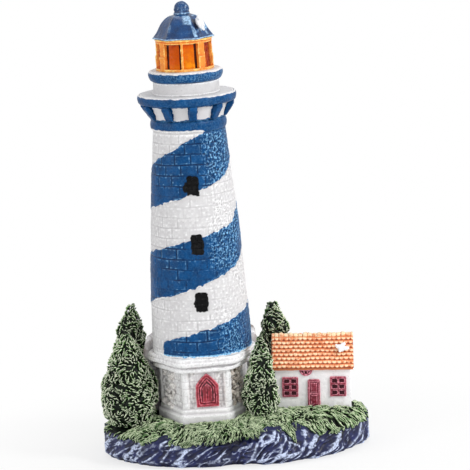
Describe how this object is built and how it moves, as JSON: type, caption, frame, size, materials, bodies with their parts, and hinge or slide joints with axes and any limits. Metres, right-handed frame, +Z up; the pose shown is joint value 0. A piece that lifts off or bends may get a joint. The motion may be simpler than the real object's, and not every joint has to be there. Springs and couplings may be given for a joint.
{
  "type": "lighthouse figurine",
  "caption": "Painted resin lighthouse with a spiral stripe, lantern and gallery, beside a tiled cottage and conifers on a rock base.",
  "frame": {"origin": "middle of the footprint, on the surface that the figurine stands on", "axes": "+Z up along the tower, +X from the tower to the cottage, front faces -Y"},
  "size_m": [0.0913, 0.0531, 0.155],
  "materials": {
    "felt": "matt felt",
    "rock_paint": "painted cast resin, indigo with dry-brushed ridges",
    "grass_paint": "painted cast resin, dry-brushed grass",
    "white_paint": "painted cast resin, warm white",
    "stone_paint": "painted cast resin, washed grey-brown stone",
    "tower_blue": "painted cast resin, brushed blue",
    "dome_blue": "painted cast resin, glossy blue",
    "black_paint": "painted cast resin, black",
    "door_red": "painted cast resin, crimson",
    "pane_dark": "painted cast resin, dark wine",
    "lantern_amber": "painted cast resin, amber",
    "roof_orange": "painted cast resin, orange with cream edges",
    "tree_paint": "painted cast resin, dark green with pale tips"
  },
  "bodies": {
    "root": {"felt_pad": "felt", "rock_base": "rock_paint", "turf": "grass_paint", "plinth": "white_paint", "plinth_cornice": "white_paint", "plinth_stones": "stone_paint", "rear_rockwork": "stone_paint", "tower_door_frame": "door_red", "tower_door": "door_red", "tower_shaft": "white_paint", "spiral_band": "tower_blue", "tower_windows": "black_paint", "belt_ring": "tower_blue", "gallery_cove": "white_paint", "gallery_brackets": "tower_blue", "gallery_deck": "tower_blue", "gallery_floor": "white_paint", "watch_room_drum": "white_paint", "lantern_deck": "tower_blue", "lantern_glazing": "lantern_amber", "lantern_frame": "lantern_amber", "dome": "dome_blue", "finial_ball": "dome_blue", "dome_gull": "white_paint", "cottage_walls": "white_paint", "cottage_roof": "roof_orange", "roof_tiles_front": "roof_orange", "roof_tiles_back": "roof_orange", "ridge_tiles": "roof_orange", "cottage_window_frames": "door_red", "cottage_window_panes": "pane_dark", "cottage_door_frame": "door_red", "cottage_door": "door_red", "cottage_vent": "pane_dark", "roof_gull": "white_paint", "tree_front_left": "tree_paint", "tree_back_left": "tree_paint", "tree_front_right": "tree_paint", "tree_back_right": "tree_paint"}
  },
  "joints": []
}
